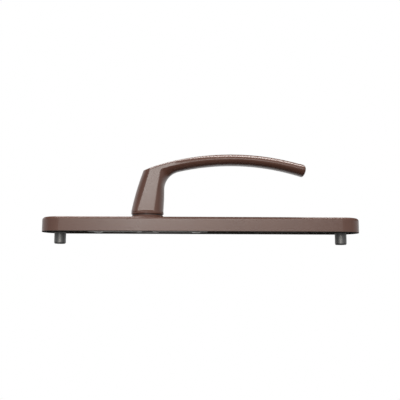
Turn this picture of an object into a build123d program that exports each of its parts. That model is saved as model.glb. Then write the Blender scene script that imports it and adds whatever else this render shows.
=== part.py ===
"""Lever handle on a long backplate for a plastic-framed door.

A die-cast cover plate carries a cast lever on a plain bearing. Behind the cover the
lever's shank is held by a washer stack and a snap ring, and a pressed steel plate
steadies its end. Two threaded posts take the screws that come through the door.

Millimetres. The origin is where the spindle's axis meets the back of the plate.
+Z is up along the plate, -Y points out of the door, and X runs across it.
Heights are measured from the back of the plate, out of the door.
"""

import os
from math import cos, radians, sin, sqrt, tan

from build123d import *

# Cover plate
plate_length = 220.0
plate_width = 28.0
plate_depth = 10.0
side_wall = 2.0
face_wall = 2.4
face_edge_radius = 2.0
axis_below_top = 73.0

# Keyhole for a profile cylinder
keyhole_below_axis = 85.0
keyhole_diameter = 18.0
keyhole_slot_width = 11.0
keyhole_reach = 25.0
keyhole_skirt = 1.6

# Threaded posts for the screws that come through the door
post_spacing = 195.0
post_diameter = 8.0
post_projection = 8.0
post_chamfer = 0.6
post_root_diameter = 7.0
post_root_length = 7.0
post_tap_diameter = 4.2
post_boss_wall = 2.2

# Collar and bearing around the lever's shank
collar_base_diameter = 23.8
collar_top_diameter = 21.6
collar_height = 1.6
boss_diameter = 25.0
boss_end_height = 5.8
bush_wall = 1.6
bush_flange_diameter = 20.8
bush_flange_thickness = 0.6
shank_diameter = 16.0

# Stiffening ribs across the hollow
rib_thickness = 1.4
rib_back_gap = 1.0
upper_rib_heights = (47.5, 52.0)
lower_rib_heights = (-47.5, -56.0, -64.5, -117.0, -124.0)

# Pressed support plate
support_length = 84.0
support_width = 20.0
support_thickness = 1.5
support_set_back = 0.9
support_corner_radius = 4.0
support_collar_wall = 1.1
support_collar_height = 0.6
support_screw_spacing = 68.0
support_screw_diameter = 2.9
support_screw_head_diameter = 5.6
support_screw_head_height = 0.8
support_screw_length = 6.0
support_boss_wall = 1.8
screw_recess_width = 0.8
screw_recess_length = 3.0
screw_recess_depth = 0.6

# Washers and ring on the shank
flat_across = 13.4
spring_washer_thickness = 0.4
spring_washer_dish = 0.5
stop_washer_diameter = 20.0
stop_washer_thickness = 1.2
stop_tab_reach = 11.3
stop_tab_angle = 24.0
stop_swing = 135.0
stop_play_angle = 0.5
snap_ring_thickness = 1.0
snap_ring_wall = 2.0
snap_ring_gap_angle = 50.0
snap_ring_groove_depth = 1.4
shank_end_diameter = 14.4
shank_end_height = 0.5

# Spindle socket
socket_across = 8.1
socket_depth = 30.0

# Lever neck
foot_diameter = 22.6
foot_height = 3.6
neck_join_height = 30.0
neck_back_lean = 15.6
neck_back_at_join = -7.7
neck_finger_lean = 1.8
neck_finger_at_join = 11.6
neck_facet_width = 20.2
neck_corner_radius = 1.6
neck_top_radius = 5.0
neck_inner_radius = 11.0
neck_sections = 4
neck_head_height = 41.5

# Lever grip
grip_width = 17.9
grip_tip_width = 16.7
grip_thickness = 6.9
grip_peak_height = 55.1
grip_peak_from_axis = 59.5
grip_top_curve = 174.0
grip_under_curve = 147.0
grip_reach = 110.5
grip_top_edge_radius = 3.9
grip_under_edge_radius = 2.4
grip_tip_radius = 1.5

# Clearances
running_gap = 0.05
drawn_gap = 0.02
washer_gap = 0.2

# Sketch planes: one faces out of the door, one is the plane that the lever's curve lies in
front = Plane.XZ
side = Plane(origin=(0, 0, 0), x_dir=(0, 0, -1), z_dir=(-1, 0, 0))

# Sizes that follow from the ones above
plate_centre = (0, axis_below_top - plate_length / 2)
hollow_depth = plate_depth - face_wall
post_places = [
    (0, plate_centre[1] + post_spacing / 2),
    (0, plate_centre[1] - post_spacing / 2),
]
support_screw_places = [(0, support_screw_spacing / 2), (0, -support_screw_spacing / 2)]
collar_top = plate_depth + collar_height
neck_base = collar_top + bush_flange_thickness
foot_top = neck_base + foot_height
bush_outer_radius = shank_diameter / 2 + running_gap + bush_wall
boss_bore_radius = bush_outer_radius + drawn_gap
support_front = support_set_back + support_thickness
keyhole_centre = (0, -keyhole_below_axis)
slot_end_centre = (0, -keyhole_below_axis - keyhole_reach + keyhole_slot_width / 2)

# The stack on the shank, counted from the boss towards the door
spring_washer_height = spring_washer_thickness + spring_washer_dish
stop_washer_front = boss_end_height - spring_washer_height - drawn_gap
stop_washer_back = stop_washer_front - stop_washer_thickness
groove_front = stop_washer_back
groove_back = groove_front - snap_ring_thickness
groove_radius = shank_diameter / 2 - snap_ring_groove_depth


# Cover plate, cast in one piece and hollow behind
with BuildPart() as backplate:
    with BuildSketch(front):
        with Locations(plate_centre):
            SlotOverall(plate_length, plate_width, rotation=90)
    extrude(amount=plate_depth)
    fillet(backplate.faces().sort_by(Axis.Y)[0].edges(), face_edge_radius)

    # the hollow
    with BuildSketch(front):
        with Locations(plate_centre):
            SlotOverall(plate_length - 2 * side_wall, plate_width - 2 * side_wall, rotation=90)
    extrude(amount=hollow_depth, mode=Mode.SUBTRACT)

    # ribs across the hollow, short of the back so that they never touch the door
    with BuildSketch(front.offset(rib_back_gap)):
        for rib_height in upper_rib_heights + lower_rib_heights:
            with Locations((0, rib_height)):
                Rectangle(plate_width - side_wall, rib_thickness)
    extrude(amount=hollow_depth - rib_back_gap)

    # bosses for the posts, which reach the back, and for the support plate's screws
    with BuildSketch(front):
        with Locations(post_places):
            Circle(post_root_diameter / 2 + post_boss_wall)
    extrude(amount=hollow_depth)
    with BuildSketch(front.offset(support_front)):
        with Locations(support_screw_places):
            Circle(support_screw_diameter / 2 + support_boss_wall)
    extrude(amount=hollow_depth - support_front)

    # boss round the shank, and the low cone that it makes on the face
    with BuildSketch(front.offset(boss_end_height)):
        Circle(boss_diameter / 2)
    extrude(amount=hollow_depth - boss_end_height)
    with BuildSketch(front.offset(plate_depth)):
        Circle(collar_base_diameter / 2)
    with BuildSketch(front.offset(collar_top)):
        Circle(collar_top_diameter / 2)
    loft()

    # stop lug on the boss: the tab of the stop washer comes up to its sides at each end of the swing
    lug_half_angle = 180 - stop_swing - stop_play_angle - stop_tab_angle / 2
    lug_inner_radius = stop_washer_diameter / 2 + washer_gap
    lug_corner_angles = (90 + lug_half_angle, 90 - lug_half_angle)
    with BuildSketch(front.offset(stop_washer_back)):
        Circle(boss_diameter / 2)
        Circle(lug_inner_radius, mode=Mode.SUBTRACT)
        with BuildLine():
            lug_reach = boss_diameter / cos(radians(lug_half_angle))
            Polyline(
                (0, 0),
                *[(lug_reach * cos(radians(a)), lug_reach * sin(radians(a))) for a in lug_corner_angles],
                (0, 0),
            )
        make_face(mode=Mode.INTERSECT)
    extrude(amount=boss_end_height - stop_washer_back)

    # skirt round the keyhole, and the keyhole through it
    with BuildSketch(front):
        with Locations(keyhole_centre):
            Circle(keyhole_diameter / 2 + keyhole_skirt)
        with Locations(((0, (keyhole_centre[1] + slot_end_centre[1]) / 2))):
            SlotCenterToCenter(
                keyhole_centre[1] - slot_end_centre[1],
                keyhole_slot_width + 2 * keyhole_skirt,
                rotation=90,
            )
    extrude(amount=hollow_depth)
    with BuildSketch(front) as keyhole:
        with Locations(keyhole_centre):
            Circle(keyhole_diameter / 2)
        with Locations(((0, (keyhole_centre[1] + slot_end_centre[1]) / 2))):
            SlotCenterToCenter(
                keyhole_centre[1] - slot_end_centre[1],
                keyhole_slot_width,
                rotation=90,
            )
    extrude(amount=plate_depth, mode=Mode.SUBTRACT)

    # bores for the bush, the posts and the support plate's screws
    with BuildSketch(front):
        Circle(boss_bore_radius)
    extrude(amount=collar_top, mode=Mode.SUBTRACT)
    with BuildSketch(front):
        with Locations(post_places):
            Circle(post_root_diameter / 2 + drawn_gap)
    extrude(amount=post_root_length, mode=Mode.SUBTRACT)
    with BuildSketch(front.offset(support_front)):
        with Locations(support_screw_places):
            Circle(support_screw_diameter / 2 + drawn_gap)
    extrude(
        amount=support_screw_length - support_thickness + drawn_gap,
        mode=Mode.SUBTRACT,
    )
backplate.part.label = "backplate"
pieces = [backplate.part]


# Threaded posts, turned from steel and pressed into the cover's bosses
for post_name, post_place in zip(("upper_post", "lower_post"), post_places):
    with BuildPart() as post:
        with BuildSketch(front.offset(-post_projection)):
            with Locations(post_place):
                Circle(post_diameter / 2)
        extrude(amount=post_projection)
        chamfer(post.faces().sort_by(Axis.Y)[-1].edges(), post_chamfer)
        with BuildSketch(front):
            with Locations(post_place):
                Circle(post_root_diameter / 2)
        extrude(amount=post_root_length)
        with BuildSketch(front.offset(-post_projection)):
            with Locations(post_place):
                Circle(post_tap_diameter / 2)
        extrude(amount=post_projection + post_root_length, mode=Mode.SUBTRACT)
        chamfer(
            post.faces().sort_by(Axis.Y)[-1].edges().sort_by(SortBy.RADIUS)[0],
            post_chamfer / 2,
        )
    post.part.label = post_name
    pieces.append(post.part)


# Flanged bush in the cover's bore, moulded in black acetal
with BuildPart() as bush:
    with BuildSketch(front.offset(boss_end_height)):
        Circle(bush_outer_radius)
    extrude(amount=collar_top - boss_end_height)
    with BuildSketch(front.offset(collar_top)):
        Circle(bush_flange_diameter / 2)
    extrude(amount=bush_flange_thickness)
    with BuildSketch(front.offset(boss_end_height)):
        Circle(shank_diameter / 2 + running_gap)
    extrude(amount=neck_base - boss_end_height, mode=Mode.SUBTRACT)
bush.part.label = "bush"
pieces.append(bush.part)


# Support plate, pressed from steel, with a drawn collar that steadies the shank's end
with BuildPart() as support_plate:
    with BuildSketch(front.offset(support_set_back)):
        RectangleRounded(support_width, support_length, support_corner_radius)
    extrude(amount=support_thickness)
    with BuildSketch(front.offset(support_set_back - support_collar_height)):
        Circle(shank_end_diameter / 2 + running_gap + support_collar_wall)
    extrude(amount=support_collar_height)
    with BuildSketch(front.offset(support_set_back - support_collar_height)):
        Circle(shank_end_diameter / 2 + running_gap)
    extrude(amount=support_collar_height + support_thickness, mode=Mode.SUBTRACT)
    with BuildSketch(front.offset(support_set_back)):
        with Locations(support_screw_places):
            Circle(support_screw_diameter / 2 + washer_gap)
    extrude(amount=support_thickness, mode=Mode.SUBTRACT)
support_plate.part.label = "support_plate"
pieces.append(support_plate.part)


# Pan-head screws that hold the support plate to its two bosses
for screw_name, screw_place in zip(
    ("upper_support_screw", "lower_support_screw"), support_screw_places
):
    with BuildPart() as support_screw:
        with BuildSketch(front.offset(support_set_back)):
            with Locations(screw_place):
                Circle(support_screw_diameter / 2)
        extrude(amount=support_screw_length)
        with BuildSketch(front.offset(support_set_back)):
            with Locations(screw_place):
                Circle(support_screw_head_diameter / 2)
        extrude(amount=-support_screw_head_height)
        fillet(
            support_screw.faces().sort_by(Axis.Y)[-1].edges(),
            support_screw_head_height / 2,
        )
        with BuildSketch(front.offset(support_set_back - support_screw_head_height)):
            with Locations(screw_place):
                Rectangle(screw_recess_length, screw_recess_width)
                Rectangle(screw_recess_width, screw_recess_length)
        extrude(amount=screw_recess_depth, mode=Mode.SUBTRACT)
    support_screw.part.label = screw_name
    pieces.append(support_screw.part)


# Dished spring washer that takes up the end float
with BuildPart() as spring_washer:
    with BuildSketch(Plane.YZ):
        with BuildLine():
            inner = shank_diameter / 2 + running_gap
            outer = bush_outer_radius
            Polyline(
                (-boss_end_height, outer),
                (-boss_end_height + spring_washer_thickness, outer),
                (-boss_end_height + spring_washer_height, inner),
                (-boss_end_height + spring_washer_dish, inner),
                (-boss_end_height, outer),
            )
        make_face()
    revolve(axis=Axis.Y)
spring_washer.part.label = "spring_washer"
pieces.append(spring_washer.part)


# Stop washer, stamped from steel, keyed to the shank's flats, with a tab for the lug
with BuildPart() as stop_washer:
    with BuildSketch(front.offset(stop_washer_back)):
        Circle(stop_tab_reach)
        with BuildLine():
            tab_reach = stop_tab_reach / cos(radians(stop_tab_angle / 2))
            tab_half_width = tab_reach * sin(radians(stop_tab_angle / 2))
            Polyline(
                (0, 0),
                (-tab_half_width, -tab_reach * cos(radians(stop_tab_angle / 2))),
                (tab_half_width, -tab_reach * cos(radians(stop_tab_angle / 2))),
                (0, 0),
            )
        make_face(mode=Mode.INTERSECT)
        Circle(stop_washer_diameter / 2)
    extrude(amount=stop_washer_thickness)
    with BuildSketch(front.offset(stop_washer_back)):
        Circle(shank_diameter / 2 + drawn_gap)
        Rectangle(flat_across + 2 * drawn_gap, 2 * shank_diameter, mode=Mode.INTERSECT)
    extrude(amount=stop_washer_thickness, mode=Mode.SUBTRACT)
stop_washer.part.label = "stop_washer"
pieces.append(stop_washer.part)


# Snap ring, an open ring of spring steel in the shank's groove
with BuildPart() as snap_ring:
    with BuildSketch(front.offset(groove_back)):
        Circle(groove_radius + snap_ring_wall)
        Circle(groove_radius + drawn_gap, mode=Mode.SUBTRACT)
        with BuildLine():
            opening_half_width = shank_diameter * tan(radians(snap_ring_gap_angle / 2))
            Polyline(
                (0, 0),
                (-opening_half_width, shank_diameter),
                (opening_half_width, shank_diameter),
                (0, 0),
            )
        make_face(mode=Mode.SUBTRACT)
    extrude(amount=snap_ring_thickness)
snap_ring.part.label = "snap_ring"
pieces.append(snap_ring.part)


# Lever, cast in one piece: grip, neck, foot and shank
def neck_back(height):
    """Where the neck's back edge is, counted from the axis along the lever."""
    return neck_back_at_join - (neck_join_height - height) * tan(radians(neck_back_lean))


def neck_finger(height):
    """Where the neck's finger-side edge is, counted from the axis along the lever."""
    return neck_finger_at_join - (neck_join_height - height) * tan(radians(neck_finger_lean))


def side_edges(body):
    """The long edges of the lever's two flat sides, without those at the join and the tip."""
    ends = body.faces().sort_by(Axis.Y)[-1].edges() + body.faces().sort_by(Axis.Z)[0].edges()
    sides = body.faces().filter_by(GeomType.PLANE).sort_by(Axis.X)
    return [edge for edge in sides[0].edges() + sides[-1].edges() if edge not in ends]


def is_outer(edge):
    """Whether an edge of the lever's side lies on its outer line, away from the fingers."""
    middle = edge @ 0.5
    from_axis, height = -middle.Z, -middle.Y
    grip_middle = grip_peak_height - grip_thickness / 2 - grip_top_curve
    radius = sqrt((from_axis - grip_peak_from_axis) ** 2 + (height - grip_middle) ** 2)
    on_neck = height < neck_head_height and from_axis < neck_finger(height) / 2
    return on_neck or radius > grip_top_curve


def neck_section(share):
    """The neck's outline at a share of the way from its join with the grip down to its foot."""
    height = neck_join_height + (foot_top - neck_join_height) * share
    half_width = (grip_width + (neck_facet_width - grip_width) * share) / 2
    back = max(neck_back(height), -foot_diameter / 2) * (1 - share) - foot_diameter / 2 * share
    finger = neck_finger(height) * (1 - share) + foot_diameter / 2 * share
    foot_bulge = foot_diameter / 2 - sqrt(foot_diameter**2 - neck_facet_width**2) / 2
    bulge = foot_bulge * share
    corner = grip_under_edge_radius + (neck_corner_radius - grip_under_edge_radius) * share
    with BuildSketch(front.offset(height)) as section:
        with BuildLine():
            Line((half_width, -back - bulge), (half_width, -finger + bulge))
            ThreePointArc(
                (half_width, -finger + bulge), (0, -finger), (-half_width, -finger + bulge)
            )
            Line((-half_width, -finger + bulge), (-half_width, -back - bulge))
            ThreePointArc((-half_width, -back - bulge), (0, -back), (half_width, -back - bulge))
        make_face()
        fillet(section.vertices(), corner)
    return section.sketch


neck_outlines = [neck_section(step / neck_sections) for step in range(1, neck_sections + 1)]

with BuildPart() as lever:
    # grip and upper neck, as they are seen from the side
    with BuildSketch(side) as lever_side:
        with Locations((grip_peak_from_axis, grip_peak_height - grip_top_curve)):
            Circle(grip_top_curve)
        with Locations(
            (grip_peak_from_axis, grip_peak_height - grip_thickness - grip_under_curve)
        ):
            Circle(grip_under_curve, mode=Mode.SUBTRACT)
        Polygon(
            (neck_back(neck_join_height), neck_join_height),
            (grip_reach, neck_join_height),
            (grip_reach, grip_peak_height + 1),
            (neck_back(grip_peak_height + 1), grip_peak_height + 1),
            mode=Mode.INTERSECT,
        )
        Polygon(
            (neck_back(neck_join_height), neck_join_height),
            (neck_finger(neck_join_height), neck_join_height),
            (neck_finger(neck_head_height), neck_head_height),
            (neck_back(neck_head_height), neck_head_height),
        )
        outer_corner = (neck_back(neck_head_height), neck_head_height + 1)
        inner_corner = (neck_finger(neck_head_height), neck_head_height - 1)
        fillet(lever_side.vertices().sort_by_distance(outer_corner)[0], neck_top_radius)
        fillet(lever_side.vertices().sort_by_distance(inner_corner)[0], neck_inner_radius)
    extrude(amount=grip_width, both=True)

    # both sides are cut to the grip's width, and close in a little towards the tip
    narrowing = (grip_width - grip_tip_width) / 2 / grip_reach
    with BuildSketch(front.offset(neck_join_height)):
        Polygon(
            (grip_width / 2 + narrowing * foot_diameter, foot_diameter),
            (-grip_width / 2 - narrowing * foot_diameter, foot_diameter),
            (-grip_tip_width / 2, -grip_reach),
            (grip_tip_width / 2, -grip_reach),
        )
    extrude(amount=grip_peak_height, mode=Mode.INTERSECT)

    # rounded edges: the long ones on the finger side, the long outer ones, then the tip
    fillet([edge for edge in side_edges(lever) if not is_outer(edge)], grip_under_edge_radius)
    fillet([edge for edge in side_edges(lever) if is_outer(edge)], grip_top_edge_radius)
    fillet(lever.faces().sort_by(Axis.Z)[0].edges(), grip_tip_radius)

    # the neck spreads from the grip to a round foot
    loft([lever.faces().sort_by(Axis.Y)[-1], *neck_outlines])
    foot_face = lever.faces().sort_by(Axis.Y)[-1]
    extrude(foot_face, amount=foot_height)

    # shank, with flats for the stop washer and a groove for the snap ring
    with BuildSketch(front.offset(stop_washer_front)):
        Circle(shank_diameter / 2)
    extrude(amount=neck_base - stop_washer_front)
    with BuildSketch(front.offset(stop_washer_back)):
        Circle(shank_diameter / 2)
        Rectangle(flat_across, shank_diameter, mode=Mode.INTERSECT)
    extrude(amount=stop_washer_thickness)
    with BuildSketch(front.offset(groove_back)):
        Circle(groove_radius)
    extrude(amount=groove_front - groove_back)
    with BuildSketch(front.offset(shank_end_height)):
        Circle(shank_end_diameter / 2)
        Rectangle(flat_across, shank_diameter, mode=Mode.INTERSECT)
    extrude(amount=groove_back - shank_end_height)

    # square socket for the spindle
    with BuildSketch(front.offset(shank_end_height)):
        Rectangle(socket_across, socket_across)
    extrude(amount=socket_depth, mode=Mode.SUBTRACT)
lever.part.label = "lever"
pieces.append(lever.part)

os.makedirs("parts", exist_ok=True)
for piece in pieces:
    export_step(piece, f"parts/{piece.label}.step")
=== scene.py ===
"""A painted lever handle on a long cover plate, seen from its side before a pale sheet."""

from math import asin, atan2, cos, exp, hypot, log, pi, radians, sin, sqrt

import bmesh
import bpy
from mathutils import Matrix, Vector


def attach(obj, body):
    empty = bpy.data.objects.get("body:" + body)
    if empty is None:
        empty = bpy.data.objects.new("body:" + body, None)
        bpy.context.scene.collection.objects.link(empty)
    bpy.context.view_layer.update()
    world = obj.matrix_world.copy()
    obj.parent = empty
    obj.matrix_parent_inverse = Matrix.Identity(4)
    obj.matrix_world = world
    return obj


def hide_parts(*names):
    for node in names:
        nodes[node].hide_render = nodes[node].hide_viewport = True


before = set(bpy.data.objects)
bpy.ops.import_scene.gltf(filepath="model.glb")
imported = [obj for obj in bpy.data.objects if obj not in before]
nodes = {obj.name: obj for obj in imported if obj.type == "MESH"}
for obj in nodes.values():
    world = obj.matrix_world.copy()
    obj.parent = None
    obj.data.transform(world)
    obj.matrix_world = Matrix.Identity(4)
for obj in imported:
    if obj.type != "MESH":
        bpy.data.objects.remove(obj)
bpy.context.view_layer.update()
mm = 0.001


# Cover plate
# A hollow zinc die casting with rounded ends and a low conical collar, painted semi-gloss brown.
# The hollow behind is left as cast, with a thin mist of paint that got in past the edges.

PLATE_LENGTH = 220.0
PLATE_WIDTH = 28.0
PLATE_MIDDLE = -37.0
HOLLOW_DEPTH = 7.6
SIDE_WALL = 2.0
WALL_FADE = 1.2
BACK_RIM = 0.25

PAINT_DARK = (0.104, 0.045, 0.031, 1.0)
PAINT_LIGHT = (0.128, 0.060, 0.042, 1.0)
# edge colour: the paint is thinner over edges, and this lighter colour there is also a painted
# highlight
PAINT_EDGE_THIN_AND_HIGHLIGHT = (0.190, 0.110, 0.086, 1.0)
PAINT_DUST = (0.300, 0.260, 0.230, 1.0)
CAST_DARK = (0.030, 0.026, 0.022, 1.0)
CAST_LIGHT = (0.055, 0.047, 0.040, 1.0)
PAINT_ROUGHNESS = (0.26, 0.32)
PEEL_HEIGHT = 0.000012
CAST_GRAIN_HEIGHT = 0.00005
BARE_LEAST = 0.93


def add_node(tree, kind, inputs=(), **settings):
    """A new node; each of its inputs is given a value or is linked to another node's outlet."""
    made = tree.nodes.new(kind)
    for name, value in settings.items():
        setattr(made, name, value)
    for name, value in dict(inputs).items():
        if isinstance(value, bpy.types.NodeSocket):
            tree.links.new(value, made.inputs[name])
        else:
            made.inputs[name].default_value = value
    return made


def blend_colour(tree, amount, first, second):
    """The second colour laid over the first, by an amount from 0 to 1."""
    inputs = {"Factor": amount, "A": first, "B": second}
    return add_node(tree, "ShaderNodeMix", inputs, data_type="RGBA").outputs["Result"]


def respan(tree, value, low, high, new_low, new_high):
    """A value carried from one range to another, and held at that range's ends."""
    inputs = {
        "Value": value,
        "From Min": low,
        "From Max": high,
        "To Min": new_low,
        "To Max": new_high,
    }
    return add_node(tree, "ShaderNodeMapRange", inputs).outputs["Result"]


def calculate(tree, operation, first, second=0.0):
    inputs = {0: first, 1: second}
    return add_node(tree, "ShaderNodeMath", inputs, operation=operation).outputs[0]


def new_group(name, values, outlets):
    """An empty shader node group: its inputs with their start values, and its outlets."""
    group = bpy.data.node_groups.new(name, "ShaderNodeTree")
    for label, value in values.items():
        kind = "NodeSocketVector" if value is None else "NodeSocketFloat"
        socket = group.interface.new_socket(label, in_out="INPUT", socket_type=kind)
        if value is not None:
            socket.default_value = value
    for label, kind in outlets.items():
        group.interface.new_socket(label, in_out="OUTPUT", socket_type=kind)
    return group, group.nodes.new("NodeGroupInput").outputs, group.nodes.new("NodeGroupOutput")


# what a cast, painted or plated skin has in common: broad patches, fine grain and stray specks
uneven_skin, given, result = new_group(
    "uneven skin",
    {"Vector": None, "Patch scale": 45.0, "Grain scale": 1500.0, "Speck scale": 260.0},
    {"Patches": "NodeSocketFloat", "Grain": "NodeSocketFloat", "Specks": "NodeSocketFloat"},
)
for label, scale, detail in (("Patches", "Patch scale", 4.0), ("Grain", "Grain scale", 2.0)):
    noise = add_node(
        uneven_skin,
        "ShaderNodeTexNoise",
        {"Vector": given["Vector"], "Scale": given[scale], "Detail": detail},
    )
    spread = respan(uneven_skin, noise.outputs["Fac"], 0.3, 0.7, 0.0, 1.0)
    uneven_skin.links.new(spread, result.inputs[label])
cells = add_node(
    uneven_skin,
    "ShaderNodeTexVoronoi",
    {"Vector": given["Vector"], "Scale": given["Speck scale"]},
)
dots = respan(uneven_skin, cells.outputs["Distance"], 0.05, 0.13, 1.0, 0.0)
few = respan(
    uneven_skin,
    add_node(
        uneven_skin, "ShaderNodeSeparateColor", {"Color": cells.outputs["Color"]}
    ).outputs["Red"],
    0.90,
    0.94,
    0.0,
    1.0,
)
uneven_skin.links.new(calculate(uneven_skin, "MULTIPLY", dots, few), result.inputs["Specks"])

# how sharply the surface turns within a small radius, and the normal that is rounded there
turned_edge, given, result = new_group(
    "turned edge", {"Radius": 0.0003}, {"Edge": "NodeSocketFloat", "Normal": "NodeSocketVector"}
)
rounded = add_node(turned_edge, "ShaderNodeBevel", {"Radius": given["Radius"]}, samples=6)
surface = add_node(turned_edge, "ShaderNodeNewGeometry")
likeness = add_node(
    turned_edge,
    "ShaderNodeVectorMath",
    {0: rounded.outputs["Normal"], 1: surface.outputs["Normal"]},
    operation="DOT_PRODUCT",
)
edge = respan(turned_edge, likeness.outputs["Value"], 0.99, 0.85, 0.0, 1.0)
turned_edge.links.new(edge, result.inputs["Edge"])
turned_edge.links.new(rounded.outputs["Normal"], result.inputs["Normal"])

# the paint: a slightly patchy brown with orange peel, thinner over edges and lightened there as
# a painted highlight
paint_film, given, result = new_group(
    "paint film",
    {"Vector": None, "Peel height": PEEL_HEIGHT},
    {"Color": "NodeSocketColor", "Roughness": "NodeSocketFloat", "Normal": "NodeSocketVector"},
)
skin = add_node(
    paint_film,
    "ShaderNodeGroup",
    {"Vector": given["Vector"], "Patch scale": 38.0, "Grain scale": 1300.0},
    node_tree=uneven_skin,
)
rim = add_node(paint_film, "ShaderNodeGroup", {"Radius": 0.00035}, node_tree=turned_edge)
colour = blend_colour(paint_film, skin.outputs["Patches"], PAINT_DARK, PAINT_LIGHT)
# over edges the paint is thinner, and its lighter colour there is a painted highlight
thinned_and_highlighted = calculate(paint_film, "MULTIPLY", rim.outputs["Edge"], 0.5)
colour = blend_colour(paint_film, thinned_and_highlighted, colour, PAINT_EDGE_THIN_AND_HIGHLIGHT)
dusty = calculate(paint_film, "MULTIPLY", skin.outputs["Specks"], 0.35)
colour = blend_colour(paint_film, dusty, colour, PAINT_DUST)
paint_film.links.new(colour, result.inputs["Color"])
roughness = respan(paint_film, skin.outputs["Patches"], 0.0, 1.0, *PAINT_ROUGHNESS)
paint_film.links.new(roughness, result.inputs["Roughness"])
peel = add_node(
    paint_film,
    "ShaderNodeBump",
    {
        "Height": skin.outputs["Grain"],
        "Distance": given["Peel height"],
        "Normal": rim.outputs["Normal"],
    },
)
paint_film.links.new(peel.outputs["Normal"], result.inputs["Normal"])


def new_material(name):
    """A material's tree, its shader and the object coordinates that its patterns follow."""
    material = bpy.data.materials.new(name)
    material.use_nodes = True
    tree = material.node_tree
    shader = tree.nodes["Principled BSDF"]
    return material, tree, shader, add_node(tree, "ShaderNodeTexCoord").outputs["Object"]


cover_finish, tree, shader, place = new_material("painted casting")
film = add_node(tree, "ShaderNodeGroup", {"Vector": place}, node_tree=paint_film)
grit = add_node(
    tree,
    "ShaderNodeGroup",
    {"Vector": place, "Patch scale": 120.0, "Grain scale": 2600.0},
    node_tree=uneven_skin,
)

# bare casting: the back rim, and the hollow, which lies within the walls and behind the face
axes = add_node(tree, "ShaderNodeSeparateXYZ", {"Vector": place}).outputs
along = calculate(tree, "ABSOLUTE", calculate(tree, "SUBTRACT", axes["Z"], PLATE_MIDDLE * mm))
past_straight = calculate(tree, "SUBTRACT", along, (PLATE_LENGTH - PLATE_WIDTH) / 2 * mm)
past_straight = calculate(tree, "MAXIMUM", past_straight, 0.0)
out_square = calculate(
    tree,
    "ADD",
    calculate(tree, "MULTIPLY", axes["X"], axes["X"]),
    calculate(tree, "MULTIPLY", past_straight, past_straight),
)
from_middle = calculate(tree, "SQRT", out_square)
inner_edge = (PLATE_WIDTH / 2 - SIDE_WALL) * mm
outer_edge = inner_edge + WALL_FADE * mm
within_walls = respan(tree, from_middle, inner_edge, outer_edge, 1.0, 0.0)
behind_face = calculate(tree, "GREATER_THAN", axes["Y"], -(HOLLOW_DEPTH + 0.1) * mm)
back_rim = calculate(tree, "GREATER_THAN", axes["Y"], -BACK_RIM * mm)
bare = calculate(tree, "MULTIPLY", within_walls, behind_face)
bare = calculate(tree, "MAXIMUM", bare, back_rim)
mist = respan(tree, grit.outputs["Patches"], 0.2, 0.8, BARE_LEAST, 1.0)
bare = calculate(tree, "MULTIPLY", bare, mist)
cast_colour = blend_colour(tree, grit.outputs["Patches"], CAST_DARK, CAST_LIGHT)
tree.links.new(
    blend_colour(tree, bare, film.outputs["Color"], cast_colour), shader.inputs["Base Color"]
)
rough = calculate(tree, "MAXIMUM", film.outputs["Roughness"], bare)
tree.links.new(rough, shader.inputs["Roughness"])
cast_grain = calculate(tree, "MULTIPLY", grit.outputs["Grain"], bare)
sanded = add_node(
    tree,
    "ShaderNodeBump",
    {
        "Height": cast_grain,
        "Distance": CAST_GRAIN_HEIGHT,
        "Normal": film.outputs["Normal"],
    },
)
tree.links.new(sanded.outputs["Normal"], shader.inputs["Normal"])


def finish_nodes(material, *names):
    """Puts one material on CAD nodes that keep their own shape."""
    for name in names:
        slots = nodes[name].data.materials
        slots.clear()
        slots.append(material)


finish_nodes(cover_finish, "backplate")


# Threaded posts
# Turned from dark steel, pressed into the cover's bosses, and tapped for the screws that
# come through the door. The thread's ridges run round the inside of each bore.

POST_SPACING = 195.0
POST_PROJECTION = 8.0
TAP_CORE_RADIUS = 2.1
TAP_PITCH = 0.8
TAP_LENGTH = 13.6
TAP_RIDGE = 0.26
TAP_BELOW_MOUTH = 0.6

STEEL_DARK = (0.120, 0.118, 0.116, 1.0)
STEEL_LIGHT = (0.190, 0.187, 0.184, 1.0)


def skin_material(name, colours, roughness, grain_height, metallic=1.0, patch_scale=70.0):
    """A bare or plated skin: two shades in patches, an uneven gloss and a fine grain."""
    material, tree, shader, place = new_material(name)
    skin = add_node(
        tree,
        "ShaderNodeGroup",
        {"Vector": place, "Patch scale": patch_scale, "Grain scale": 3200.0},
        node_tree=uneven_skin,
    )
    rim = add_node(tree, "ShaderNodeGroup", {"Radius": 0.0002}, node_tree=turned_edge)
    shader.inputs["Metallic"].default_value = metallic
    colour = blend_colour(tree, skin.outputs["Patches"], *colours)
    tree.links.new(colour, shader.inputs["Base Color"])
    gloss = respan(tree, skin.outputs["Grain"], 0.0, 1.0, *roughness)
    tree.links.new(gloss, shader.inputs["Roughness"])
    grain = add_node(
        tree,
        "ShaderNodeBump",
        {
            "Height": skin.outputs["Grain"],
            "Distance": grain_height,
            "Normal": rim.outputs["Normal"],
        },
    )
    tree.links.new(grain.outputs["Normal"], shader.inputs["Normal"])
    return material


dark_steel = skin_material(
    "dark turned steel",
    (STEEL_DARK, STEEL_LIGHT),
    roughness=(0.42, 0.50),
    grain_height=0.000003,
)
finish_nodes(dark_steel, "upper_post", "lower_post")

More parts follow.
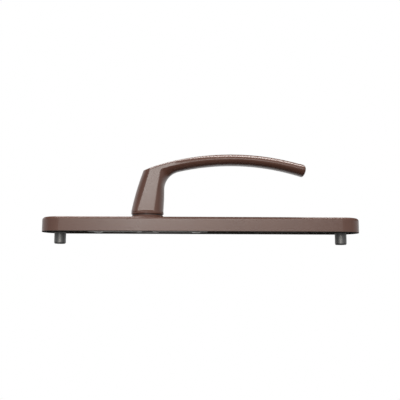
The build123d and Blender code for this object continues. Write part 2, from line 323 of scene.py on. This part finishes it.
tapping = bpy.data.node_groups.new("tapped thread", "GeometryNodeTree")
for label, kind in (
    ("Core radius", "NodeSocketFloat"),
    ("Pitch", "NodeSocketFloat"),
    ("Length", "NodeSocketFloat"),
    ("Ridge", "NodeSocketFloat"),
    ("Posts apart", "NodeSocketFloat"),
    ("First post", "NodeSocketVector"),
    ("Material", "NodeSocketMaterial"),
):
    tapping.interface.new_socket(label, in_out="INPUT", socket_type=kind)
tapping.interface.new_socket("Geometry", in_out="OUTPUT", socket_type="NodeSocketGeometry")
given = tapping.nodes.new("NodeGroupInput").outputs
result = tapping.nodes.new("NodeGroupOutput")
turns = calculate(tapping, "DIVIDE", given["Length"], given["Pitch"])
coil = add_node(
    tapping,
    "GeometryNodeCurveSpiral",
    {
        "Resolution": 24,
        "Rotations": turns,
        "Start Radius": given["Core radius"],
        "End Radius": given["Core radius"],
        "Height": given["Length"],
    },
)
crest = add_node(
    tapping,
    "GeometryNodeCurvePrimitiveCircle",
    {"Resolution": 3, "Radius": given["Ridge"]},
    mode="RADIUS",
)
ridge = add_node(
    tapping,
    "GeometryNodeCurveToMesh",
    {
        "Curve": coil.outputs["Curve"],
        "Profile Curve": crest.outputs["Curve"],
        "Fill Caps": True,
    },
)
along_bore = add_node(
    tapping,
    "GeometryNodeTransform",
    {"Geometry": ridge.outputs["Mesh"], "Rotation": (pi / 2, 0.0, 0.0)},
)
step = add_node(tapping, "ShaderNodeCombineXYZ", {"Z": given["Posts apart"]})
post_places = add_node(
    tapping,
    "GeometryNodeMeshLine",
    {"Count": 2, "Start Location": given["First post"], "Offset": step.outputs["Vector"]},
)
pair = add_node(
    tapping,
    "GeometryNodeInstanceOnPoints",
    {"Points": post_places.outputs["Mesh"], "Instance": along_bore.outputs["Geometry"]},
)
solid_pair = add_node(
    tapping, "GeometryNodeRealizeInstances", {"Geometry": pair.outputs["Instances"]}
)
steel_pair = add_node(
    tapping,
    "GeometryNodeSetMaterial",
    {"Geometry": solid_pair.outputs["Geometry"], "Material": given["Material"]},
)
tapping.links.new(steel_pair.outputs["Geometry"], result.inputs["Geometry"])


def new_piece(name, mesh):
    """An object of its own in the scene, at the origin."""
    piece = bpy.data.objects.new(name, mesh)
    bpy.context.scene.collection.objects.link(piece)
    return piece


def grown_piece(name, tree, values):
    """Runs a geometry tree with the given inputs and keeps its result as a plain mesh."""
    piece = new_piece(name, bpy.data.meshes.new(name))
    grower = piece.modifiers.new(name, "NODES")
    grower.node_group = tree
    for item in tree.interface.items_tree:
        if item.in_out == "INPUT":
            grower[item.identifier] = values[item.name]
    evaluated = piece.evaluated_get(bpy.context.evaluated_depsgraph_get())
    grown = bpy.data.meshes.new_from_object(evaluated)
    piece.modifiers.clear()
    piece.data = grown
    return piece


thread_start = (POST_PROJECTION - TAP_BELOW_MOUTH) * mm
post_threads = grown_piece(
    "post_threads",
    tapping,
    {
        "Core radius": (TAP_CORE_RADIUS + TAP_RIDGE / 3) * mm,
        "Pitch": TAP_PITCH * mm,
        "Length": TAP_LENGTH * mm,
        "Ridge": TAP_RIDGE * mm,
        "Posts apart": POST_SPACING * mm,
        "First post": (0.0, thread_start, (PLATE_MIDDLE - POST_SPACING / 2) * mm),
        "Material": dark_steel,
    },
)
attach(post_threads, "plate")


# Bush
# A flanged bearing moulded in black acetal, pressed into the cover's collar. Its flange
# shows as the dark line between the collar and the lever's foot.

ACETAL_DARK = (0.010, 0.010, 0.010, 1.0)
ACETAL_LIGHT = (0.018, 0.017, 0.017, 1.0)

acetal = skin_material(
    "black acetal",
    (ACETAL_DARK, ACETAL_LIGHT),
    roughness=(0.36, 0.48),
    grain_height=0.000008,
    metallic=0.0,
)
finish_nodes(acetal, "bush")


# Support plate with its screws, washers and snap ring
# Pressed, stamped or turned from steel. The plate, its two pan-head screws and the washers
# are zinc plated, and the snap ring is left as dark spring steel.

ZINC_DARK = (0.230, 0.225, 0.210, 1.0)
ZINC_LIGHT = (0.360, 0.350, 0.330, 1.0)
BRIGHT_ZINC_DARK = (0.420, 0.415, 0.400, 1.0)
BRIGHT_ZINC_LIGHT = (0.580, 0.570, 0.550, 1.0)

dull_zinc = skin_material(
    "dull zinc plating",
    (ZINC_DARK, ZINC_LIGHT),
    roughness=(0.50, 0.68),
    grain_height=0.00003,
)
finish_nodes(dull_zinc, "support_plate", "spring_washer", "stop_washer")
bright_zinc = skin_material(
    "bright zinc plating",
    (BRIGHT_ZINC_DARK, BRIGHT_ZINC_LIGHT),
    roughness=(0.28, 0.40),
    grain_height=0.00001,
)
finish_nodes(bright_zinc, "upper_support_screw", "lower_support_screw")
finish_nodes(dark_steel, "snap_ring")


# Lever
# One zinc die casting: a round foot, a neck with a flat facet on each side, and a bowed grip,
# painted like the cover. The shank below the foot is machined bare and runs in the bush.

# It is laid in sections from the foot to the tip, each between a point on the finger side
# and a point on the back. A point is given by its distance out along the plate, towards the
# tip, and its height above the door.
FOOT_RADIUS = 11.3
FOOT_BASE = 12.2
FOOT_BEVEL = 0.6
FOOT_TOP = 13.5
FOOT_RIM_TURN = 0.08
FOOT_RIM_DROP = 0.25
SHANK_RADIUS = 8.0
SHANK_OVERLAP = 0.1
SOCKET_ACROSS = 8.1
SOCKET_END = 30.5
SOCKET_SLACK = 0.05
RUN_OUT_TOP = 14.9
RUN_OUT_CURVE = 2.2

NECK_FINGER_OUT = (11.0, 11.5)
NECK_FINGER_RISE = 10.0
BEND_CENTRE = Vector((24.5, 30.3))
BEND_RADIUS = 13.0
BACK_CREASE = Vector((-3.32, 43.2))
BACK_DROP = 28.8
BACK_LEAN = 10.6
BACK_BOW = 2.6
UNDER_CENTRE = Vector((58.9, -113.75))
UNDER_RADIUS = 161.1
OUTER_CENTRE = Vector((59.5, -118.93))
OUTER_RADIUS = 174.0
GRIP_REACH = 109.7
TIP_BOW_RADIUS = 14.0
TIP_BOW_HEIGHT = 43.6
TIP_EDGE = 1.1
TIP_FLAT_INSETS = (2.6, 3.4)

# a nose's half width, depth, corner radius and the turn with which it leaves the facet
FINGER_NOSE = (9.6, 5.4, 6.0, radians(15))
BACK_NOSE = (9.6, 5.2, 5.5, radians(25))
OUTER_NOSE = (9.15, 2.6, 2.4, radians(12))
FACET_HALF_WIDTHS = (9.55, 8.85)
FACET_HEIGHTS = (14.4, 54.9)
FACET_FINGER_EDGE = (Vector((5.2, 14.9)), Vector((8.9, 40.5)))
FACET_BACK_EDGE = (Vector((-6.77, 14.04)), Vector((1.32, 42.5)))
FACET_ABOVE_UNDER = 3.6
FACET_BELOW_TOP = 1.9
FACET_BLEND = 2.0
FACET_SHARES = (0.08, 0.35, 0.65, 0.92)
WIDEST_BELOW_TOP = 4.3
CROWN_STEPS = 7
CORNER_STEPS = 8
SHARP_ANGLE = radians(38)


def mixed(first, second, share):
    """What lies between two values, a share of the way from the first to the second."""
    return first + (second - first) * share


def facet_half_width(height):
    """Half the lever's width between its two facets, which narrows as they rise."""
    low, high = FACET_HEIGHTS
    return mixed(*FACET_HALF_WIDTHS, (height - low) / (high - low))


def nose_outline(nose, facet, depth):
    """Half of a nose from its crown to the facet, as pairs of half width and depth."""
    half_width, own_depth, corner, turn = nose
    centre_across = half_width - corner * cos(turn)
    centre_deep = own_depth + corner * sin(turn)
    crown = (centre_across**2 + centre_deep**2 - corner**2) / 2 / (centre_deep - corner)
    lean = atan2(centre_across, crown - centre_deep)
    last = asin(min((facet - centre_across) / corner, cos(turn)))
    outline = []
    for step in range(CROWN_STEPS):
        angle = lean * step / CROWN_STEPS
        outline.append((crown * sin(angle), crown * (1 - cos(angle))))
    for step in range(CORNER_STEPS + 1):
        angle = mixed(lean, last, step / CORNER_STEPS)
        outline.append((centre_across + corner * sin(angle), centre_deep - corner * cos(angle)))
    stretch = depth / outline[-1][1]
    return [(wide, deep * stretch) for wide, deep in outline]


def distance_to_line(start, heading, line):
    """How far along a heading a line is crossed."""
    slope = line[1] - line[0]
    return (line[0] - start).cross(slope) / heading.cross(slope)


def distance_to_circle(start, heading, centre, radius, side):
    """How far along a heading a circle is crossed, on its near side (-1) or its far side (1)."""
    offset = start - centre
    nearing = heading.dot(offset)
    return side * sqrt(nearing**2 - offset.length_squared + radius**2) - nearing


def rounder(loop, share):
    """Moves a loop's points towards an oval that is widest a little below its top side."""
    width = max(spot.x for spot in loop)
    thickness = max(spot.y for spot in loop)
    widest = thickness - WIDEST_BELOW_TOP
    moved = []
    for spot in loop:
        reach = WIDEST_BELOW_TOP if spot.y > widest else widest
        angle = atan2(spot.x / width, (spot.y - widest) / reach)
        oval = Vector((width * sin(angle), widest + reach * cos(angle)))
        moved.append(spot.lerp(oval, share))
    return moved


def lever_section(finger, back, back_nose, roundness=0.0):
    """Points round one section, as (half width, out, height), crown to crown and back."""
    across = back - finger
    thickness = across.length
    across.normalize()
    from_grip = distance_to_circle(
        finger, across, UNDER_CENTRE, UNDER_RADIUS + FACET_ABOVE_UNDER, 1
    )
    from_neck = distance_to_line(finger, across, FACET_FINGER_EDGE)
    if from_neck < 0:
        from_neck = thickness
    near_both = exp(-FACET_BLEND * from_grip) + exp(-FACET_BLEND * from_neck)
    finger_depth = -log(near_both) / FACET_BLEND
    to_back_edge = distance_to_line(finger, across, FACET_BACK_EDGE)
    back_depth = thickness - to_back_edge if to_back_edge > 0 else 0
    if back.x > BACK_CREASE.x:
        from_top = distance_to_circle(
            back, -across, OUTER_CENTRE, OUTER_RADIUS - FACET_BELOW_TOP, -1
        )
        back_depth = max(min(back_depth, thickness / 2), from_top)
    finger_side = nose_outline(FINGER_NOSE, facet_half_width(finger.y), finger_depth)
    back_side = nose_outline(back_nose, facet_half_width(back.y), back_depth)
    half = list(finger_side)
    finger_border = finger_side[-1]
    back_border = (back_side[-1][0], thickness - back_depth)
    for share in FACET_SHARES:
        wide = mixed(finger_border[0], back_border[0], share)
        half.append((wide, mixed(finger_border[1], back_border[1], share)))
    half += [(wide, thickness - deep) for wide, deep in reversed(back_side)]
    loop = [Vector(spot) for spot in half + [(-wide, deep) for wide, deep in half[-2:0:-1]]]
    placed = []
    for wide, deep in rounder(loop, roundness):
        spot = finger + across * deep
        placed.append(Vector((wide, spot.x, spot.y)))
    return placed


sections = []

# foot: its flat underside, the bevel and the round wall, as rings that match a section's points
lowest = lever_section(
    Vector((FOOT_RADIUS, RUN_OUT_TOP)), Vector((-FOOT_RADIUS, RUN_OUT_TOP)), BACK_NOSE
)
for radius, height in (
    (SHANK_RADIUS - SHANK_OVERLAP, FOOT_BASE),
    (FOOT_RADIUS - FOOT_BEVEL, FOOT_BASE),
    (FOOT_RADIUS, FOOT_BASE + FOOT_BEVEL),
    (FOOT_RADIUS, FOOT_TOP - FOOT_RIM_DROP),
    (FOOT_RADIUS - FOOT_RIM_TURN, FOOT_TOP),
):
    ring = []
    for spot in lowest:
        scale = radius / hypot(spot.x, spot.y)
        ring.append(Vector((spot.x * scale, spot.y * scale, height)))
    sections.append(ring)

# neck: upright sections, which run out into the foot's round rim at their lower end
def back_spot(height):
    """The crown of the neck's back, which leans towards the grip and bows a little."""
    share = (BACK_CREASE.y - height) / BACK_DROP
    out = BACK_CREASE.x - BACK_LEAN * share + BACK_BOW * share**2
    return Vector((max(out, -FOOT_RADIUS), height))


NECK_TOP = 29.5
NECK_SPACING = 2.0
RUN_OUT_STEPS = 6
neck_heights = []
for step in range(1, RUN_OUT_STEPS + 1):
    neck_heights.append(mixed(FOOT_TOP, RUN_OUT_TOP, step / RUN_OUT_STEPS))
neck_heights += [15.5, 16.5]
neck_heights += [NECK_TOP - NECK_SPACING * step for step in range(6, -1, -1)]
for height in neck_heights:
    finger_out = mixed(*NECK_FINGER_OUT, min((height - FOOT_TOP) / NECK_FINGER_RISE, 1))
    section = lever_section(Vector((finger_out, height)), back_spot(height), BACK_NOSE)
    below_end = max((RUN_OUT_TOP - height) / (RUN_OUT_TOP - FOOT_TOP), 0)
    run_out = below_end**RUN_OUT_CURVE
    for spot in section:
        scale = mixed(1, FOOT_RADIUS / hypot(spot.x, spot.y), run_out)
        spot.x *= scale
        spot.y *= scale
    sections.append(section)

# bend: sections fan from the inner bend's arc to the back, over the crease and along the top
bend_turn = atan2(BEND_CENTRE.y - UNDER_CENTRE.y, UNDER_CENTRE.x - BEND_CENTRE.x)
grip_turn = pi / 2 - bend_turn


def grip_outer_radius(turn):
    """From the under side's centre to the top side, at one turn about that centre."""
    shift = (UNDER_CENTRE.y - OUTER_CENTRE.y) * cos(turn)
    return sqrt(shift**2 + OUTER_RADIUS**2 - (UNDER_CENTRE.y - OUTER_CENTRE.y) ** 2) - shift


def outward(turn):
    """The heading at one turn from straight up, towards the tip."""
    return Vector((sin(turn), cos(turn)))


CREASE_SHARE = 0.36
FAR_FROM_CREASE = 5.8
grip_start_top = UNDER_CENTRE + outward(-grip_turn) * grip_outer_radius(-grip_turn)
crease_turn = asin((BACK_CREASE.x - OUTER_CENTRE.x) / OUTER_RADIUS)
start_top_turn = asin((grip_start_top.x - OUTER_CENTRE.x) / OUTER_RADIUS)

# the shares of the bend at which a section lies, closer together on both sides of the crease
bend_shares = [0.03 * step for step in range(1, 11)]
bend_shares += [0.325, 0.345, 0.355, CREASE_SHARE, 0.365, 0.375, 0.39]
bend_shares += [0.41 + 0.02 * step for step in range(29)]
for share in bend_shares:
    turn = bend_turn * share
    finger = BEND_CENTRE + Vector((-cos(turn), sin(turn))) * BEND_RADIUS
    if share <= CREASE_SHARE:
        back = back_spot(mixed(NECK_TOP, BACK_CREASE.y, share / CREASE_SHARE))
        nose = BACK_NOSE
    else:
        top_share = (share - CREASE_SHARE) / (1 - CREASE_SHARE)
        top_turn = mixed(crease_turn, start_top_turn, top_share)
        back = OUTER_CENTRE + outward(top_turn) * OUTER_RADIUS
        into_top = min((back.x - BACK_CREASE.x) / FAR_FROM_CREASE, 1)
        nose = [mixed(a, b, into_top) for a, b in zip(BACK_NOSE, OUTER_NOSE)]
    sections.append(lever_section(finger, back, nose))

# grip: sections square to the under side, which fan upright again towards the tip. The
# ridges that bound the facet fade along the grip, and its sides grow round.
GRIP_SECTIONS = 52
SQUARE_UNTIL = 104.0
FADE_FROM = 14.0
FADE_TO = 52.0
FAN_STEPS = 6
FAN_SHORT_OF_TIP = 0.4


def on_arc(centre, radius, out):
    """The point of an arc that lies at one distance out along the plate."""
    return centre + outward(asin((out - centre.x) / radius)) * radius


last_turn = asin((SQUARE_UNTIL - UNDER_CENTRE.x) / UNDER_RADIUS)
crowns = []
for step in range(GRIP_SECTIONS):
    turn = mixed(-grip_turn, last_turn, step / (GRIP_SECTIONS - 1))
    finger = UNDER_CENTRE + outward(turn) * UNDER_RADIUS
    crowns.append((finger, UNDER_CENTRE + outward(turn) * grip_outer_radius(turn)))
end_out = GRIP_REACH - TIP_EDGE - FAN_SHORT_OF_TIP
fan_start = crowns[-1]
for step in range(1, FAN_STEPS + 1):
    finger_out = mixed(fan_start[0].x, end_out, step / FAN_STEPS)
    top_out = mixed(fan_start[1].x, end_out, step / FAN_STEPS)
    finger = on_arc(UNDER_CENTRE, UNDER_RADIUS, finger_out)
    crowns.append((finger, on_arc(OUTER_CENTRE, OUTER_RADIUS, top_out)))
for finger, back in crowns:
    fade = min(max((finger.x - FADE_FROM) / (FADE_TO - FADE_FROM), 0), 1)
    sections.append(lever_section(finger, back, OUTER_NOSE, fade))

# tip: a bowed end with rounded edges, closed by rings that shrink to its middle
end_section = sections.pop()
end_middle = (finger.y + back.y) / 2
end_half = (back.y - finger.y) / 2
end_width = facet_half_width(end_middle)


def tip_bow(height):
    """How far the bowed end falls back from its reach, at one height."""
    return sqrt(TIP_BOW_RADIUS**2 - (height - TIP_BOW_HEIGHT) ** 2) - TIP_BOW_RADIUS


tip_rings = []
for step in range(7):
    angle = radians(15 * step)
    tip_rings.append((TIP_EDGE * (1 - cos(angle)), TIP_EDGE * (1 - sin(angle))))
tip_rings += [(inset, 0.0) for inset in TIP_FLAT_INSETS]
for inset, short in tip_rings:
    ring = []
    for spot in end_section:
        wide = spot.x * (1 - inset / end_width)
        height = mixed(end_middle, spot.z, 1 - inset / end_half)
        ring.append(Vector((wide, GRIP_REACH - short + tip_bow(height), height)))
    sections.append(ring)

lever_mesh = bmesh.new()
rings = []
for section in sections:
    places = [(spot.x * mm, -spot.z * mm, -spot.y * mm) for spot in section]
    rings.append([lever_mesh.verts.new(spot) for spot in places])
for ring, following in zip(rings, rings[1:]):
    for here in range(len(ring)):
        there = (here + 1) % len(ring)
        lever_mesh.faces.new((ring[here], ring[there], following[there], following[here]))
tip_middle = lever_mesh.verts.new(
    (0.0, -end_middle * mm, -(GRIP_REACH + tip_bow(end_middle)) * mm)
)
for here in range(len(rings[-1])):
    there = (here + 1) % len(rings[-1])
    lever_mesh.faces.new((rings[-1][here], rings[-1][there], tip_middle))
bmesh.ops.recalc_face_normals(lever_mesh, faces=lever_mesh.faces)

# the machined shank and the socket are the CAD lever's own, below the foot
shank = bmesh.new()
shank.from_mesh(nodes["lever"].data)
bmesh.ops.remove_doubles(shank, verts=shank.verts, dist=0.001 * mm)
half_socket = (SOCKET_ACROSS / 2 + SOCKET_SLACK) * mm
above = []
for face in shank.faces:
    middle = face.calc_center_median()
    in_socket = max(abs(middle.x), abs(middle.z)) < half_socket
    in_socket = in_socket and middle.y > -(SOCKET_END + 2 * SOCKET_SLACK) * mm
    if middle.y < -(FOOT_BASE - 0.01) * mm and not in_socket:
        above.append(face)
bmesh.ops.delete(shank, geom=above, context="FACES")
shank_mesh = bpy.data.meshes.new("shank")
shank.to_mesh(shank_mesh)
shank.free()
painted_faces = len(lever_mesh.faces)
lever_mesh.from_mesh(shank_mesh)
lever_mesh.faces.ensure_lookup_table()
for face in lever_mesh.faces:
    face.smooth = True
    face.material_index = 0 if face.index < painted_faces else 1

SHANK_DARK = (0.330, 0.325, 0.310, 1.0)
SHANK_LIGHT = (0.460, 0.450, 0.430, 1.0)

lever_paint, tree, shader, place = new_material("brown paint")
film = add_node(tree, "ShaderNodeGroup", {"Vector": place}, node_tree=paint_film)
for label, socket in (("Color", "Base Color"), ("Roughness", "Roughness"), ("Normal", "Normal")):
    tree.links.new(film.outputs[label], shader.inputs[socket])
machined_zinc = skin_material(
    "machined zinc alloy",
    (SHANK_DARK, SHANK_LIGHT),
    roughness=(0.34, 0.46),
    grain_height=0.00001,
)

lever_data = bpy.data.meshes.new("lever_casting")
lever_mesh.to_mesh(lever_data)
lever_mesh.free()
lever_data.materials.append(lever_paint)
lever_data.materials.append(machined_zinc)
lever_data.set_sharp_from_angle(angle=SHARP_ANGLE)
lever_casting = new_piece("lever_casting", lever_data)
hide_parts("lever")
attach(lever_casting, "lever")


# Table
# A pale sheet behind the handle. The camera, and whatever mirrors it, sees it as plain white.
# Its back is clear, so that it hides nothing in the views from its other side.

TABLE_DISTANCE = 0.16
TABLE_HALF_LENGTH = 0.6
TABLE_EDGES = (-0.025, 0.040)
PAPER_DARK = (0.80, 0.80, 0.79, 1.0)
PAPER_LIGHT = (0.83, 0.83, 0.82, 1.0)
WHITE = (1.0, 1.0, 1.0, 1.0)

corners = ((0, -1), (0, 1), (1, 1), (1, -1))
table_data = bpy.data.meshes.new("table")
table_data.from_pydata(
    [(TABLE_DISTANCE, TABLE_EDGES[a], TABLE_HALF_LENGTH * b) for a, b in corners],
    [],
    [(0, 1, 2, 3)],
)
table = new_piece("table", table_data)
paper, tree, shader, place = new_material("pale paper")
skin = add_node(
    tree,
    "ShaderNodeGroup",
    {"Vector": place, "Patch scale": 6.0, "Grain scale": 400.0},
    node_tree=uneven_skin,
)
paper_colour = blend_colour(tree, skin.outputs["Patches"], PAPER_DARK, PAPER_LIGHT)
tree.links.new(paper_colour, shader.inputs["Base Color"])
shader.inputs["Roughness"].default_value = 0.9


def seen_as_white(tree, mirrored_part=1.0):
    """One for the camera, the mirrored part for what mirrors, and nothing for other light."""
    path = add_node(tree, "ShaderNodeLightPath").outputs
    mirrored = calculate(tree, "MAXIMUM", path["Is Glossy Ray"], path["Is Transmission Ray"])
    mirrored = calculate(tree, "MULTIPLY", mirrored, mirrored_part)
    return calculate(tree, "MAXIMUM", path["Is Camera Ray"], mirrored)


glow = add_node(tree, "ShaderNodeEmission", {"Color": WHITE})
front_side = add_node(
    tree,
    "ShaderNodeMixShader",
    {0: seen_as_white(tree), 1: shader.outputs["BSDF"], 2: glow.outputs["Emission"]},
)
clear = add_node(tree, "ShaderNodeBsdfTransparent")
sheet = add_node(
    tree,
    "ShaderNodeMixShader",
    {
        0: add_node(tree, "ShaderNodeNewGeometry").outputs["Backfacing"],
        1: front_side.outputs["Shader"],
        2: clear.outputs["BSDF"],
    },
)
tree.links.new(sheet.outputs["Shader"], tree.nodes["Material Output"].inputs["Surface"])
table_data.materials.append(paper)


# Light
# A wide softbox by the camera, a narrow one that faces the neck, a strip overhead, and a dim
# room that is darker below and behind. The camera sees it as plain white, and so does what
# mirrors the band behind the handle, where the pale sheet would reach on.

ROOM_FRONT = 0.75
ROOM_BEHIND = 0.10
ROOM_BELOW = 0.3

# the band's start, top and floor, each as two headings between which it fades. Near the level
# it widens round the handle's ends, and its top rises towards the left. Y points down.
BAND_START = (0.15, 0.50)
BAND_TOP = (-0.18, -0.14)
BAND_FLOOR = (0.30, 0.55)
BAND_LEVEL = (0.15, 0.35)
BAND_WIDENS = 0.5
BAND_RISES_PAST = 0.15
BAND_RISE = 0.6

world = bpy.data.worlds.new("studio")
bpy.context.scene.world = world
world.use_nodes = True
tree = world.node_tree
room = tree.nodes["Background"]
heading = add_node(tree, "ShaderNodeTexCoord").outputs["Generated"]
heading = add_node(tree, "ShaderNodeSeparateXYZ", {"Vector": heading}).outputs
in_front = respan(tree, heading["X"], 0.2, -0.6, ROOM_BEHIND, ROOM_FRONT)
not_below = respan(tree, heading["Y"], 0.0, 0.5, 1.0, ROOM_BELOW)
tree.links.new(calculate(tree, "MULTIPLY", in_front, not_below), room.inputs["Strength"])
room.inputs["Color"].default_value = WHITE
backdrop = add_node(tree, "ShaderNodeBackground", {"Color": WHITE, "Strength": 1.0})
off_level = calculate(tree, "ABSOLUTE", heading["Y"])
round_sides = respan(tree, off_level, *BAND_LEVEL, BAND_WIDENS, 0.0)
turned_back = calculate(tree, "ADD", heading["X"], round_sides)
behind_handle = respan(tree, turned_back, *BAND_START, 0.0, 1.0)
to_left = calculate(tree, "SUBTRACT", heading["Z"], BAND_RISES_PAST)
to_left = calculate(tree, "MAXIMUM", to_left, 0.0)
raised = calculate(tree, "MULTIPLY", to_left, BAND_RISE)
raised = calculate(tree, "ADD", heading["Y"], raised)
under_top = respan(tree, raised, *BAND_TOP, 0.0, 1.0)
over_floor = respan(tree, heading["Y"], *BAND_FLOOR, 1.0, 0.0)
band = calculate(tree, "MULTIPLY", under_top, over_floor)
band = calculate(tree, "MULTIPLY", band, behind_handle)
sky = add_node(
    tree,
    "ShaderNodeMixShader",
    {
        0: seen_as_white(tree, band),
        1: room.outputs["Background"],
        2: backdrop.outputs["Background"],
    },
)
tree.links.new(sky.outputs["Shader"], tree.nodes["World Output"].inputs["Surface"])


def softbox(name, place, size, power, colour):
    """A rectangular lamp that faces the plate's middle. Its second size lies along the plate."""
    lamp = bpy.data.lights.new(name, "AREA")
    lamp.shape = "RECTANGLE"
    lamp.size, lamp.size_y = size
    lamp.energy = power
    lamp.color = colour
    holder = new_piece(name, lamp)
    holder.location = place
    aim = Vector((0, 0, PLATE_MIDDLE * mm)) - Vector(place)
    holder.rotation_euler = aim.to_track_quat("-Z", "Y").to_euler()


softbox("camera side softbox", (-0.66, -0.20, -0.05), (0.30, 0.42), 1.6, (1.0, 0.97, 0.92))
softbox("softbox facing the neck", (-0.68, -0.16, 0.055), (0.30, 0.10), 0.6, (1.0, 0.98, 0.94))
softbox("overhead strip", (0.10, -0.44, -0.04), (0.16, 0.50), 2.9, (1.0, 0.97, 0.94))


# Camera
# It looks across the plate at the handle's side, from a little behind the plate's back, with
# the plate level in the picture and the grip pointing right.

CAMERA_DISTANCE = 0.450
CAMERA_TILT = radians(7.0)
CAMERA_ROLL = radians(0.25)
CAMERA_LENS = 58.2
PICTURE_CENTRE = 0.0366
PICTURE_RISE = 0.02278

back = Vector((-cos(CAMERA_TILT), sin(CAMERA_TILT), 0))
up = Vector((-sin(CAMERA_TILT), -cos(CAMERA_TILT), 0))
right = Vector((0, 0, -1))
rolled_right = right * cos(CAMERA_ROLL) + up * sin(CAMERA_ROLL)
rolled_up = up * cos(CAMERA_ROLL) - right * sin(CAMERA_ROLL)
camera = new_piece("camera", bpy.data.cameras.new("camera"))
camera.data.lens = CAMERA_LENS
stand = back * CAMERA_DISTANCE + up * PICTURE_RISE + right * PICTURE_CENTRE
facing = Matrix((rolled_right, rolled_up, back)).transposed().to_4x4()
camera.matrix_world = Matrix.Translation(stand) @ facing
bpy.context.scene.camera = camera
bpy.context.scene.view_settings.view_transform = "Standard"
